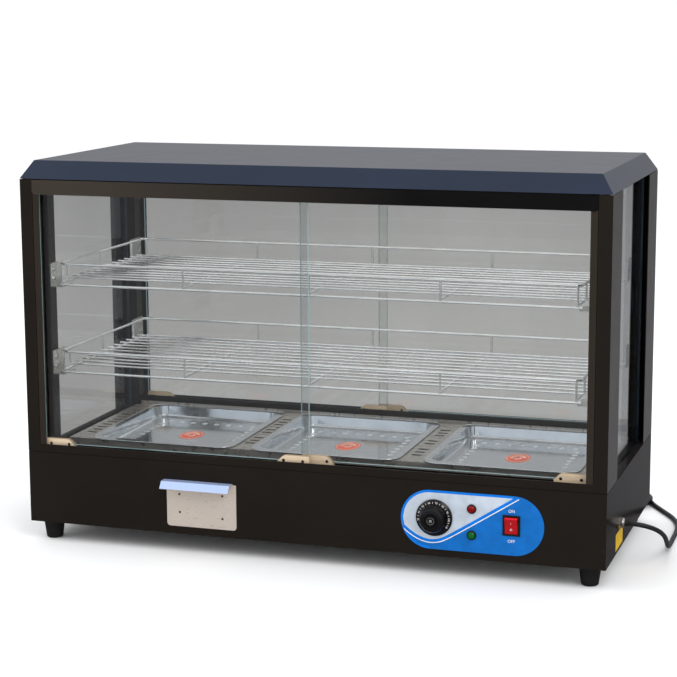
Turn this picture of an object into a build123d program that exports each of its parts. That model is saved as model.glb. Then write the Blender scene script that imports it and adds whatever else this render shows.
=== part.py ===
"""Food holding cabinet: a heated glass display with sliding doors at the front and the rear.

Millimetres. +X runs along the front towards the cord side, -Y is the front, +Z is up from the floor.
Every sub-part is its own BuildPart, written to its own STEP file in parts/.
"""

from build123d import *
import os
from math import cos, pi, radians, sin, tan

os.makedirs("parts", exist_ok=True)

# ---- Driving dimensions ----
width = 900.0                 # over the corner posts
depth = 400.0                 # over the corner posts
front_y = -189.0              # front face of the body, which stands off centre to balance the knob
feet_height = 30.0
base_height = 112.0
glazed_height = 421.0
hood_height = 27.0
sheet = 1.2                   # painted steel sheet
stainless = 1.0               # stainless sheet
pane = 5.0                    # toughened glass

# ---- Levels and faces that follow from them ----
half_width = width / 2
back_y = front_y + depth
base_top = feet_height + base_height
posts_top = base_top + glazed_height
hood_top = posts_top + hood_height

# Corner posts: u runs inwards from the side face, v runs inwards from the front or rear face.
side_flange = 80.0
post_face = 20.0
post_inner = 31.0
pocket = 29.0                 # depth of the two door tracks
post_body = 50.0
glass_plane = 15.0            # centre of a side pane, from the side face
glass_inset = 51.0            # end of a side pane, from the front or rear face

# Sliding doors
outer_track = 9.5             # track centres, from the front or rear face
inner_track = 20.5
track_floor = base_top + sheet
lip_top = 154.0
door_width = 430.0
door_bottom = 154.5
door_top = 556.0
carrier_length = 50.0
carrier_top = 162.5
carrier_bottom = 146.0
wheel_radius = 4.3
wheel_gap = 0.3               # between a wheel and the floor of its track

# Stainless deck with hanging pans
frame_top = 133.0             # ring that carries the deck
deck_top = 145.0
deck_half = 424.0
deck_front = -99.0
deck_back = 169.5
pan_pitch = 270.0
pan_centre_y = 31.0
pan_offsets = (1.0, -2.0, 3.0)  # how far each loose pan sits from the middle of its opening
pan_width = 240.0
pan_depth = 272.0
tub_width = 218.0
tub_depth = 244.0
tub_drop = 18.5
tub_slope = 10.0                # of the pan's walls, in degrees
pan_top = 147.0

# Wire shelves
shelf_levels = (266.0, 402.0)   # centres of the cross wires
shelf_left = -409.0
shelf_right = 405.0
shelf_front = -154.0
shelf_back = 166.0
frame_wire = 2.0                # radii
long_wire = 1.5
guard_height = 28.0

# Controls on the front panel
label_x = 255.0
label_z = 84.5
label_length = 212.0
label_height = 88.0
label_thickness = 0.5
knob_x = 199.5
knob_z = 88.0
lamp_x = 255.0
lamp_heights = {"red_lamp": 105.0, "green_lamp": 66.0}
rocker_x = 313.5
rocker_z = 85.0
rocker_angle = 12.0             # tilt of the rocker either side of level

# Water drawer
drawer_left = -219.5
drawer_right = -107.5
tank_left = -213.0
tank_right = -114.0
tank_bottom = 50.0
tank_top = 102.0
tank_back = 58.0

# Power lead
gland_y = -89.0
gland_z = 74.0
cord_radius = 3.5
cord_length = 1370.0


def block(x, y, z, mode=Mode.ADD):
    """A block between a (low, high) pair along each axis."""
    with Locations(((x[0] + x[1]) / 2, (y[0] + y[1]) / 2, (z[0] + z[1]) / 2)):
        Box(abs(x[1] - x[0]), abs(y[1] - y[0]), abs(z[1] - z[0]), mode=mode)


def rod(start, end, radius, mode=Mode.ADD):
    """A round bar between two points."""
    run = Vector(*end) - Vector(*start)
    with Locations(Plane(origin=Vector(*start) + run / 2, z_dir=run)):
        Cylinder(radius, run.length, mode=mode)


def turned(origin, outward, outline):
    """A solid turned about an axis, from a closed outline of (radius, distance) points."""
    across = Vector(0, 0, 1) if abs(outward[2]) < 0.5 else Vector(1, 0, 0)
    plane = Plane(origin=origin, x_dir=across, z_dir=across.cross(Vector(*outward)))
    with BuildSketch(plane) as face:
        with BuildLine():
            Polyline(*outline, close=True)
        make_face()
    revolve(face.sketch, axis=Axis(origin, outward))


def save(piece, name):
    """Label a finished sub-part and write it."""
    piece.part.label = name
    export_step(piece.part, f"parts/{name}.step")


def from_end(end, v):
    """Y at a distance v inwards from the front ("front") or the rear ("rear") face."""
    return front_y + v if end == "front" else back_y - v


def from_side(side, u):
    """X at a distance u inwards from the left (-1) or the right (+1) face."""
    return side * (half_width - u)


# ---------------------------------------------------------------- base
seam = 1.0                           # dark line between the base, the posts and the hood
skin_top = base_top - seam
knob_hole = 5.2
lamp_hole = 5.2
drawer_opening = ((-216.0, -111.0), (45.0, 113.0))
rocker_cut = (22.0, 28.0)
inside_front = front_y + sheet
inside_back = back_y - sheet
inside_half = half_width - sheet
front_shelf = front_y + pocket       # inner edges of the flanges that carry the tracks
back_shelf = back_y - pocket

with BuildPart() as base_front_panel:
    block((-half_width, half_width), (front_y, inside_front), (feet_height, skin_top))
    block((-inside_half, inside_half), (inside_front, front_shelf), (base_top - sheet, base_top))
    through = (front_y - 1, inside_front + 1)
    block(drawer_opening[0], through, drawer_opening[1], Mode.SUBTRACT)
    rod((knob_x, through[0], knob_z), (knob_x, through[1], knob_z), knob_hole, Mode.SUBTRACT)
    for lamp_z in lamp_heights.values():
        rod((lamp_x, through[0], lamp_z), (lamp_x, through[1], lamp_z), lamp_hole, Mode.SUBTRACT)
    with Locations((rocker_x, front_y, rocker_z)):
        Box(rocker_cut[0], 10, rocker_cut[1], mode=Mode.SUBTRACT)
save(base_front_panel, "base_front_panel")

ledge = 10.0                         # the side panes stand this far in from the side faces
for side, name in ((-1, "base_left_panel"), (1, "base_right_panel")):
    with BuildPart() as side_panel:
        skin = (side * inside_half, side * half_width)
        block(skin, (inside_front, inside_back), (feet_height, skin_top))
        block(
            (from_side(side, ledge), side * inside_half),
            (front_shelf, back_shelf),
            (base_top - sheet, base_top),
        )
        if side > 0:
            rod((440, gland_y, gland_z), (460, gland_y, gland_z), 6.1, Mode.SUBTRACT)
    save(side_panel, name)

with BuildPart() as base_rear_panel:
    block((-half_width, half_width), (inside_back, back_y), (feet_height, skin_top))
    block((-inside_half, inside_half), (back_shelf, inside_back), (base_top - sheet, base_top))
    with BuildSketch(Plane.XZ.offset(-back_y)):
        with Locations((0, feet_height + base_height / 2)):
            with GridLocations(60, 14, 8, 4):
                SlotOverall(44, 5)
    extrude(amount=4, both=True, mode=Mode.SUBTRACT)
save(base_rear_panel, "base_rear_panel")

rail_floor = tank_bottom - 0.3
with BuildPart() as base_bottom_plate:
    with BuildSketch(Plane.XY.offset(feet_height)):
        with Locations((0, (inside_front + inside_back) / 2)):
            Rectangle(2 * inside_half, inside_back - inside_front)
            with Locations((60, 0)):
                with GridLocations(58, 120, 6, 3):
                    SlotOverall(44, 6, mode=Mode.SUBTRACT)
    extrude(amount=sheet)
    plate_top = feet_height + sheet
    for web, shelf in (((-217.2, -216.0), (-216.0, -206.0)), ((-111.0, -109.8), (-121.0, -111.0))):
        block(web, (-180, 70), (plate_top, 62))
        block(shelf, (-180, 70), (rail_floor - sheet, rail_floor))
save(base_bottom_plate, "base_bottom_plate")

with BuildPart() as base_top_frame:
    with BuildSketch(Plane.XY.offset(frame_top - sheet)):
        with Locations((0, (inside_front + inside_back) / 2)):
            Rectangle(2 * inside_half, inside_back - inside_front)
        with Locations((0, (deck_front + deck_back) / 2)):
            Rectangle(2 * deck_half - 8, deck_back - deck_front - 5, mode=Mode.SUBTRACT)
    extrude(amount=sheet)
    for side in (-1, 1):
        for u in (ledge, glass_plane + 4):
            block(
                (from_side(side, u), from_side(side, u + 1)),
                (from_end("front", glass_inset), from_end("rear", glass_inset)),
                (frame_top, base_top - sheet),
            )
save(base_top_frame, "base_top_frame")

foot_in = 27.0
with BuildPart() as rubber_feet:
    with BuildSketch(Plane.XY):
        for foot_y in (front_y + foot_in, back_y - foot_in):
            with Locations((-half_width + foot_in, foot_y), (half_width - foot_in, foot_y)):
                Circle(12.5)
    extrude(amount=feet_height, taper=-8)
    chamfer(rubber_feet.edges().group_by(Axis.Z)[0], 1.5)
save(rubber_feet, "rubber_feet")

# ---------------------------------------------------------------- deck and pans
pan_openings = [(n * pan_pitch, pan_centre_y) for n in (-1, 0, 1)]
slot_rows = [(n + 0.5) * pan_pitch for n in (-2, -1, 0, 1)]

with BuildPart() as deck_plate:
    with BuildSketch(Plane.XY.offset(deck_top - stainless)):
        with Locations((0, (deck_front + deck_back) / 2)):
            Rectangle(2 * deck_half, deck_back - deck_front)
        with Locations(*pan_openings):
            RectangleRounded(226, 250, 14, mode=Mode.SUBTRACT)
        for row_x in slot_rows:
            with Locations((row_x, pan_centre_y)):
                with GridLocations(1, 19.1, 1, 10):
                    SlotOverall(18, 7.5, mode=Mode.SUBTRACT)
    extrude(amount=stainless)
    skirt = (frame_top, deck_top - stainless)
    inner_half = deck_half - stainless
    block((-deck_half, deck_half), (deck_front, deck_front + stainless), skirt)
    block((-deck_half, deck_half), (deck_back - stainless, deck_back), skirt)
    block((-deck_half, deck_half), (deck_back - stainless, deck_back), (deck_top, deck_top + 5))
    for side in (-1, 1):
        sides = (side * inner_half, side * deck_half)
        block(sides, (deck_front + stainless, deck_back - stainless), skirt)
        notch = (side * (half_width - post_inner - 0.7), side * (deck_half + 1))
        block(notch, (back_y - post_body - 0.7, deck_back + 1), (frame_top - 1, deck_top + 6), Mode.SUBTRACT)
save(deck_plate, "deck_plate")


def tub(centre_x, inset):
    """A tapered block with rounded corners and a rounded floor edge: the outside or the inside of a pan."""
    corner = 18.0 - inset
    with BuildPart() as body:
        with BuildSketch(Plane.XY.offset(pan_top)):
            with Locations((centre_x, pan_centre_y)):
                RectangleRounded(tub_width - 2 * inset, tub_depth - 2 * inset, corner)
        extrude(amount=-(tub_drop - inset), taper=tub_slope)
        fillet(body.faces().sort_by(Axis.Z)[0].edges(), 6.0 - inset)
    return body.part


def hanging_pan(name, centre_x):
    """A shallow pan with sloping walls, hung by a flat rim with a rolled edge."""
    wall = 0.8
    bead = 0.9
    outside = tub(centre_x, 0)
    inside = tub(centre_x, wall)
    half_x = pan_width / 2 - bead
    half_y = pan_depth / 2 - bead
    corners = [(-half_x, -half_y), (half_x, -half_y), (half_x, half_y), (-half_x, half_y)]
    with BuildPart() as pan:
        add(outside)
        with BuildSketch(Plane.XY.offset(pan_top - wall)):
            with Locations((centre_x, pan_centre_y)):
                RectangleRounded(2 * half_x, 2 * half_y, 24)
        extrude(amount=wall)
        with BuildLine(Plane((centre_x, pan_centre_y, pan_top - bead + 0.3))):
            rim = FilletPolyline(*corners, radius=24, close=True)
        with BuildSketch(Plane(origin=rim @ 0, z_dir=rim % 0)):
            Circle(bead)
        sweep(path=rim)
        add(inside, mode=Mode.SUBTRACT)
    save(pan, name)


pan_names = ("left_pan", "middle_pan", "right_pan")
for n, name in enumerate(pan_names):
    hanging_pan(name, pan_openings[n][0] + pan_offsets[n])

# ---------------------------------------------------------------- corner posts and door frames


def corner_post(name, side, end):
    """One bent sheet: side flange, face, pocket wall, pocket back, inner face and return."""
    height = (base_top, posts_top - seam)
    legs = (
        ((0, sheet), (0, side_flange)),
        ((0, post_face), (0, sheet)),
        ((post_face - sheet, post_face), (0, pocket + sheet)),
        ((post_face - sheet, post_inner), (pocket, pocket + sheet)),
        ((post_inner - sheet, post_inner), (pocket, post_body)),
        ((glass_plane, post_inner), (post_body - sheet, post_body)),
    )
    with BuildPart() as post:
        for u, v in legs:
            block(
                (from_side(side, u[0]), from_side(side, u[1])),
                (from_end(end, v[0]), from_end(end, v[1])),
                height,
            )
    save(post, name)


for end in ("front", "rear"):
    for side, side_name in ((-1, "left"), (1, "right")):
        corner_post(f"{end}_{side_name}_post", side, end)

rail_top = posts_top - 1.5
rail_bottom = 539.5
rib = 1.2
with BuildPart() as door_stiles:
    for end in ("front", "rear"):
        for side in (-1, 1):
            height = (lip_top, rail_top - rib)
            edge = post_face + 0.6
            block(
                (from_side(side, edge), from_side(side, edge + 10)),
                (from_end(end, 0.3), from_end(end, 0.3 + rib)),
                height,
            )
            block(
                (from_side(side, edge), from_side(side, edge + 1)),
                (from_end(end, 0.3 + rib), from_end(end, 26)),
                height,
            )
save(door_stiles, "door_stiles")


def top_rail(name, end):
    """Head of a door opening: a face with rounded lower corners, and ribs that guide both panes."""
    half = half_width - post_face - 0.1
    inner = half_width - post_face - 2
    with BuildPart() as rail:
        block((-half, half), (from_end(end, -1), from_end(end, 0)), (rail_bottom, rail_top))
        lower_corners = rail.edges().filter_by(Axis.Y).group_by(Axis.Z)[0]
        fillet(lower_corners, 5)
        block((-half, half), (from_end(end, 0), from_end(end, pocket)), (rail_top - rib, rail_top))
        for v, bottom in ((14.4, 546.0), (pocket - rib, 541.0)):
            block((-inner, inner), (from_end(end, v), from_end(end, v + rib)), (bottom, rail_top - rib))
    save(rail, name)


def bottom_track(name, end, inner_lip):
    """Sill of a door opening: a floor for the wheels, an outer lip, a rib and an inner lip."""
    half = half_width - post_face
    lips = ((0, 1.5, lip_top), (14.4, 15.6, 149.0), (pocket - 1.5, pocket, inner_lip))
    with BuildPart() as track:
        block((-half, half), (from_end(end, 0), from_end(end, pocket)), (base_top, track_floor))
        for v0, v1, top in lips:
            block((-half, half), (from_end(end, v0), from_end(end, v1)), (track_floor, top))
    save(track, name)


for end, inner_lip in (("front", 150.0), ("rear", 157.0)):
    top_rail(f"{end}_top_rail", end)
    bottom_track(f"{end}_track", end, inner_lip)

# ---------------------------------------------------------------- side panes, ceiling and hood
for side, name in ((-1, "left_side_glass"), (1, "right_side_glass")):
    with BuildPart() as side_glass:
        block(
            (from_side(side, glass_plane - pane / 2), from_side(side, glass_plane + pane / 2)),
            (from_end("front", glass_inset), from_end("rear", glass_inset)),
            (frame_top + 1, rail_top - 0.5),
        )
        chamfer(side_glass.edges().filter_by(Axis.Z), 0.6)
    save(side_glass, name)

with BuildPart() as ceiling_panel:
    level = (rail_top, posts_top)
    block((-418, 418), (from_end("front", 3), from_end("rear", 3)), level)
    glazed_y = (from_end("front", glass_inset), from_end("rear", glass_inset))
    block((-(half_width - ledge), half_width - ledge), glazed_y, level)
    for side in (-1, 1):
        flange_u = glass_plane + 4
        block((from_side(side, flange_u), from_side(side, flange_u + 1)), glazed_y, (550, rail_top))
save(ceiling_panel, "ceiling_panel")

hood_slope_x = 17.7
hood_slope_y = 15.0


def hood_section(z, inset_x, inset_y):
    """A rectangle of the hood, smaller than the body by the insets."""
    with BuildSketch(Plane.XY.offset(z)) as section:
        with Locations((0, (front_y + back_y) / 2)):
            Rectangle(width - 2 * inset_x, depth - 2 * inset_y)
    return section.sketch


with BuildPart() as hood_cover:
    loft([hood_section(posts_top, 0, 0), hood_section(hood_top, hood_slope_x, hood_slope_y)])
    fillet(hood_cover.edges().group_by(Axis.Z)[-1], 1.6)
    wall = 1.4
    lower = hood_section(posts_top, wall, wall)
    upper = hood_section(hood_top - sheet, hood_slope_x + wall - 0.5, hood_slope_y + wall - 0.5)
    loft([lower, upper], mode=Mode.SUBTRACT)
    with BuildSketch(Plane.XY.offset(posts_top)):
        with Locations((0, (front_y + back_y) / 2)):
            Rectangle(width - 2, depth - 2)
            Rectangle(width - 28, depth - 28, mode=Mode.SUBTRACT)
    extrude(amount=sheet)
save(hood_cover, "hood_cover")

# ---------------------------------------------------------------- shelf brackets, screws and shelves
bracket_reach = 18.0
bracket_v = (30.0, 73.0)
bracket_face = half_width - post_inner - sheet
screw_drop = (10.0, 24.0)          # heights of the two screws above a bracket's ledge


def ledge_top(level):
    """Height of the ledge that carries a shelf whose cross wires are at this level."""
    return level - 2 * frame_wire + 0.2 - frame_wire - 0.3


with BuildPart() as shelf_brackets:
    for level in shelf_levels:
        top = ledge_top(level)
        for side in (-1, 1):
            for end in ("front", "rear"):
                along = (from_end(end, bracket_v[0]), from_end(end, bracket_v[1]))
                block((side * bracket_face, side * (bracket_face + sheet)), along, (top - sheet, top + 35))
                block(
                    (side * (bracket_face - bracket_reach), side * bracket_face), along, (top - sheet, top)
                )
save(shelf_brackets, "shelf_brackets")

front_screw_heights = (58.0, 44.5)
rear_screws = [(x, z) for x in (-436, -150, 150, 436) for z in (38, 134)]
with BuildPart() as screws:
    for level in shelf_levels:
        for side in (-1, 1):
            for end in ("front", "rear"):
                for rise in screw_drop:
                    spot = (side * bracket_face, from_end(end, 40), ledge_top(level) + rise)
                    head = (side * (bracket_face - 2), spot[1], spot[2])
                    rod(spot, head, 3.5)
    for z in front_screw_heights:
        rod((445, front_y, z), (445, front_y - 1, z), 2.0)
    for x, z in rear_screws:
        rod((x, back_y, z), (x, back_y + 0.9, z), 3.0)
save(screws, "screws")

shelf_middle_x = (shelf_left + shelf_right) / 2
end_wire = 8.0
cross_x = [shelf_middle_x + n * (shelf_right - shelf_middle_x - end_wire) / 2 for n in (-2, -1, 0, 1, 2)]
long_pitch = 24.0
long_y = [-123.0 + long_pitch * n for n in range(12)]
side_posts_y = (long_y[0], long_y[5], long_y[10])
shelf_middle_y = (shelf_front + shelf_back) / 2
shelf_length = shelf_right - shelf_left
shelf_depth = shelf_back - shelf_front


def along_x(points, length, radius):
    """Equal bars along X, centred on the points."""
    with Locations(*[Location(p, (0, 90, 0)) for p in points]):
        Cylinder(radius, length)


def along_y(points, length, radius):
    """Equal bars along Y, centred on the points."""
    with Locations(*[Location(p, (90, 0, 0)) for p in points]):
        Cylinder(radius, length)


def wire_grid(name, level):
    """Welded floor of a shelf: cross wires, long wires on top, frame wires below at front and back."""
    long_z = level + frame_wire + long_wire - 0.3
    edge_z = level - 2 * frame_wire + 0.2
    with BuildPart() as grid:
        along_y([(x, shelf_middle_y, level) for x in cross_x], shelf_depth + 2 * frame_wire, frame_wire)
        along_x([(shelf_middle_x, y, long_z) for y in long_y], shelf_length, long_wire)
        edges = [(shelf_middle_x, y, edge_z) for y in (shelf_front, shelf_back)]
        along_x(edges, shelf_length - 2, frame_wire)
    save(grid, name)


def wire_guard(name, level):
    """Guard rail of a shelf: a rounded loop on short upright wires."""
    rail_z = level + guard_height
    upright_foot = level + frame_wire
    half_x = shelf_length / 2 - frame_wire
    half_y = shelf_depth / 2
    centre = Vector(shelf_middle_x, shelf_middle_y, rail_z)
    with BuildPart() as guard:
        with BuildLine(Plane(centre)):
            corners = [(-half_x, -half_y), (half_x, -half_y), (half_x, half_y), (-half_x, half_y)]
            loop = FilletPolyline(*corners, radius=12, close=True)
        with BuildSketch(Plane(origin=loop @ 0, z_dir=loop % 0)):
            Circle(frame_wire)
        sweep(path=loop)
        reach = rail_z - upright_foot
        mid_z = (rail_z + upright_foot) / 2
        with Locations(*[(x, y, mid_z) for x in cross_x for y in (shelf_front, shelf_back)]):
            Cylinder(frame_wire - 0.4, reach)
        side_foot = level + frame_wire + 2 * long_wire - 0.3
        sides = (shelf_left + frame_wire, shelf_right - frame_wire)
        with Locations(*[(x, y, (rail_z + side_foot) / 2) for x in sides for y in side_posts_y]):
            Cylinder(frame_wire - 0.4, rail_z - side_foot)
    save(guard, name)


for shelf, level in zip(("lower", "upper"), shelf_levels):
    wire_grid(f"{shelf}_shelf_grid", level)
    wire_guard(f"{shelf}_shelf_guard", level)

# ---------------------------------------------------------------- sliding doors
# name: end of the cabinet, track centre, left edge at rest
doors = {
    "front_left": ("front", outer_track, -424.0),
    "front_right": ("front", inner_track, -10.0),
    "rear_left": ("rear", inner_track, -414.0),
    "rear_right": ("rear", outer_track, -2.0),
}
carrier_sheet = 0.9
carrier_half = pane / 2 + 0.1 + carrier_sheet
wheel_width = 4.0
wheel_z = track_floor + wheel_gap + wheel_radius
pin_radius = 1.0


def door_pane(name, track_y, left):
    """A frameless glass pane with eased edges."""
    with BuildPart() as glass:
        block((left, left + door_width), (track_y - pane / 2, track_y + pane / 2), (door_bottom, door_top))
        chamfer(glass.edges().filter_by(Axis.Z), 0.6)
    save(glass, f"{name}_glass")


def carrier_outline(start, inward):
    """Side view of a carrier: square at the pane's edge, sloping towards the middle of the pane."""
    points = (
        (0, carrier_bottom),
        (0, carrier_top - 1.5),
        (1.5, carrier_top),
        (carrier_length - 12, carrier_top),
        (carrier_length - 8, carrier_top - 2),
        (carrier_length, carrier_bottom + 7),
        (carrier_length, carrier_bottom),
    )
    return [(start + inward * x, z) for x, z in points]


def door_carriers(name, track_y, left):
    """The two folded carriers that hold a pane's lower corners, each with a wheel pin."""
    with BuildPart() as carriers:
        for start, inward in ((left, 1), (left + door_width, -1)):
            with BuildSketch(Plane.XZ.offset(-track_y)):
                with BuildLine():
                    Polyline(*carrier_outline(start, inward), close=True)
                make_face()
                for reach in (10, 40):
                    with Locations((start + inward * reach, lip_top + 0.6)):
                        Circle(2.4, mode=Mode.SUBTRACT)
            extrude(amount=carrier_half, both=True)
            ends = (start - inward, start + inward * (carrier_length + 1))
            slot = (track_y - pane / 2 - 0.1, track_y + pane / 2 + 0.1)
            block((min(ends), max(ends)), slot, (door_bottom, carrier_top + 1), Mode.SUBTRACT)
            block((min(ends), max(ends)), slot, (carrier_bottom - 1, door_bottom - 1), Mode.SUBTRACT)
            pin_x = start + inward * carrier_length / 2
            rod((pin_x, track_y - carrier_half, wheel_z), (pin_x, track_y + carrier_half, wheel_z), pin_radius)
    save(carriers, f"{name}_carriers")


def door_wheel(name, centre_x, track_y):
    """A grooved plastic wheel on its pin."""
    half = wheel_width / 2
    bore = pin_radius + 0.05
    outline = (
        (bore, -half),
        (wheel_radius, -half),
        (wheel_radius, -half + 0.8),
        (wheel_radius - 0.5, 0),
        (wheel_radius, half - 0.8),
        (wheel_radius, half),
        (bore, half),
    )
    with BuildPart() as wheel:
        turned((centre_x, track_y, wheel_z), (0, 1, 0), outline)
    save(wheel, name)


for name, (end, track, left) in doors.items():
    track_y = from_end(end, track)
    door_pane(name, track_y, left)
    door_carriers(name, track_y, left)
    door_wheel(f"{name}_wheel_left", left + carrier_length / 2, track_y)
    door_wheel(f"{name}_wheel_right", left + door_width - carrier_length / 2, track_y)

# ---------------------------------------------------------------- controls
label_face = front_y - label_thickness
with BuildPart() as control_label:
    with BuildSketch(Plane.XZ.offset(-front_y)):
        with Locations((label_x, label_z)):
            SlotOverall(label_length, label_height)
        with Locations((knob_x, knob_z)):
            Circle(6, mode=Mode.SUBTRACT)
        with Locations(*[(lamp_x, z) for z in lamp_heights.values()]):
            Circle(5.5, mode=Mode.SUBTRACT)
        with Locations((rocker_x, rocker_z)):
            Rectangle(22.6, 28.6, mode=Mode.SUBTRACT)
    extrude(amount=label_thickness)
save(control_label, "control_label")

knob_base = label_face - 0.5
knob_front = -212.0
knob_height = knob_base - knob_front
stem_radius = 3.0
stem_end = 24.0                     # how far the stem reaches behind the knob
with BuildPart() as knob:
    turned(
        (knob_x, knob_base, knob_z),
        (0, -1, 0),
        (
            (0, -stem_end),
            (stem_radius, -stem_end),
            (stem_radius, 0),
            (27.2, 0),
            (27.2, 2.2),
            (24.6, 4.4),
            (20.8, 5.0),
            (19.8, 13.0),
            (17.6, 17.0),
            (14.0, 18.6),
            (8.6, 18.8),
            (7.6, knob_height),
            (0, knob_height),
        ),
    )
    above_skirt = (knob_front - 1, knob_base - 6)
    for flat in ((-30, -17.6), (17.6, 30)):
        sides = (knob_x + flat[0], knob_x + flat[1])
        block(sides, above_skirt, (knob_z - 30, knob_z + 30), Mode.SUBTRACT)
save(knob, "knob")

with BuildPart() as thermostat:
    block((knob_x - 20, knob_x + 20), (-186.8, -152), (knob_z - 22, knob_z + 22))
    rod((knob_x, -186.8, knob_z), (knob_x, label_face, knob_z), 5)
    rod((knob_x, -164, knob_z), (knob_x, -200, knob_z), stem_radius + 0.05, Mode.SUBTRACT)
    for blade_z in (knob_z - 10, knob_z + 10):
        block((knob_x - 3, knob_x + 3), (-152, -143), (blade_z - 0.4, blade_z + 0.4))
save(thermostat, "thermostat")

for name, lamp_z in lamp_heights.items():
    with BuildPart() as lamp:
        turned(
            (lamp_x, label_face, lamp_z),
            (0, -1, 0),
            (
                (0, -24),
                (5, -24),
                (5, 0),
                (6.75, 0),
                (6.75, 1.6),
                (5.4, 2.2),
                (4.9, 4.0),
                (3.2, 5.4),
                (0, 5.8),
            ),
        )
    save(lamp, name)

bezel_front = label_face - 2
pivot_y = bezel_front + 1.8
rocker_half = 9.2
with BuildPart() as rocker_housing:
    with Locations((rocker_x, (bezel_front + label_face) / 2, rocker_z)):
        Box(25.6, 2, 30.4)
    chamfer(rocker_housing.faces().sort_by(Axis.Y)[0].edges(), 0.7)
    block((rocker_x - 10.8, rocker_x + 10.8), (label_face, -168), (rocker_z - 13.8, rocker_z + 13.8))
    cavity_z = (rocker_z - 12.6, rocker_z + 12.6)
    block((rocker_x - 9.6, rocker_x + 9.6), (bezel_front - 1, -180), cavity_z, Mode.SUBTRACT)
    rod((rocker_x - 10.5, pivot_y, rocker_z), (rocker_x + 10.5, pivot_y, rocker_z), 1.55, Mode.SUBTRACT)
    for blade_z in (rocker_z - 8, rocker_z, rocker_z + 8):
        block((rocker_x - 3.2, rocker_x + 3.2), (-168, -159), (blade_z - 0.4, blade_z + 0.4))
save(rocker_housing, "rocker_housing")

# The rocker rests with its lower half pressed in.
lean = (0, cos(radians(rocker_angle)), sin(radians(rocker_angle)))
with BuildPart() as rocker:
    with BuildSketch(Plane(origin=(rocker_x, pivot_y, rocker_z), x_dir=lean, z_dir=(1, 0, 0))):
        with BuildLine():
            Polyline(
                (-4.0, -11.6), (-2.8, 0), (-4.0, 11.6), (1.5, 11.6), (6, 5), (6, -5), (1.5, -11.6), close=True
            )
        make_face()
    extrude(amount=rocker_half, both=True)
    rod((rocker_x - 10.3, pivot_y, rocker_z), (rocker_x + 10.3, pivot_y, rocker_z), 1.5)
save(rocker, "rocker")

# ---------------------------------------------------------------- water drawer and heater
plate_front = front_y - 1.2
plate_back = front_y - 0.2
with BuildPart() as drawer_front:
    block((drawer_left, drawer_right), (plate_front, plate_back), (42, 112))
    bottom_corners = drawer_front.edges().filter_by(Axis.Y).group_by(Axis.Z)[0]
    fillet(bottom_corners, 5)
    with BuildSketch(Plane.YZ.offset(-223)):
        with BuildLine():
            Polyline(
                (plate_front, 104),
                (plate_front - 1, 104),
                (plate_front - 1, 113),
                (-202.6, 113),
                (-209.8, 103.2),
                (-210.6, 103.8),
                (-203.1, 114),
                (plate_front, 114),
                close=True,
            )
        make_face()
    extrude(amount=110)
save(drawer_front, "drawer_front")

with BuildPart() as drawer_tank:
    wall = 0.8
    block((tank_left, tank_right), (plate_back, tank_back), (tank_bottom, tank_top))
    block(
        (tank_left + wall, tank_right - wall),
        (plate_back + wall, tank_back - wall),
        (tank_bottom + wall, tank_top + 1),
        Mode.SUBTRACT,
    )
save(drawer_tank, "drawer_tank")


def tube(points, radii, radius):
    """A round tube along straight runs joined by tangent arcs."""
    with BuildLine():
        route = FilletPolyline(*points, radius=radii)
    with BuildSketch(Plane(origin=route @ 0, z_dir=route % 0)) as section:
        Circle(radius)
    sweep(section.sketch, path=route)
    return route.length


heater_z = 110.0
heater_radius = 4.0
with BuildPart() as heating_element:
    heater_points = [(330, -30), (-340, -30), (-340, 80), (330, 80)]
    tube([(x, y, heater_z) for x, y in heater_points], [30, 30], heater_radius)
    for strap_x in (-260, 60, 310):
        block(
            (strap_x - 1, strap_x + 1),
            (-40, 90),
            (feet_height + sheet, heater_z - heater_radius + 0.5),
        )
save(heating_element, "heating_element")

# ---------------------------------------------------------------- power lead
with BuildPart() as cable_gland:
    with BuildSketch(Plane.YZ.offset(half_width)):
        with Locations((gland_y, gland_z)):
            RegularPolygon(9.4, 6)
    extrude(amount=3.5)
    with BuildSketch(Plane.YZ.offset(inside_half - 5)):
        with Locations((gland_y, gland_z)):
            RegularPolygon(9.0, 6)
    extrude(amount=5)
    turned(
        (half_width, gland_y, gland_z),
        (1, 0, 0),
        ((0, -10), (6, -10), (6, 0), (7.8, 3.5), (7.8, 6.5), (6.2, 9.5), (0, 9.5)),
    )
    rod((430, gland_y, gland_z), (470, gland_y, gland_z), cord_radius - 0.05, Mode.SUBTRACT)
save(cable_gland, "cable_gland")

floor_z = cord_radius
coil_centre = (398.0, 292.0)
coil_mean = 39.0                    # radius of the middle of the coil's turns
coil_half = 7.0                     # half the width and height of the wound bundle
route_points = [
    (446, gland_y, gland_z),
    (470, gland_y, gland_z),
    (492, -85, 70),
    (509, -70, 61),
    (515, -45, 46),
    (513, -15, 29),
    (509, 17, 14),
    (506, 51, floor_z + 1.5),
    (505, 89, floor_z),
    (505.5, 130, floor_z),
    (502, 172, floor_z),
    (490, 210, floor_z),
    (466, 250, floor_z),
    (443, 284, floor_z),
]
tail_points = [
    (374, 329.5, floor_z),
    (347, 324, floor_z),
    (322, 313, floor_z + 2.5),
    (298, 304, 9),
]


def cord_radii(points):
    """As large an arc at each corner as its two runs allow."""
    radii = []
    for before, corner, after in zip(points, points[1:], points[2:]):
        arriving = Vector(*corner) - Vector(*before)
        leaving = Vector(*after) - Vector(*corner)
        half_turn = radians(arriving.get_angle(leaving)) / 2
        radii.append(0.45 * min(arriving.length, leaving.length) / tan(half_turn))
    return radii


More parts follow.
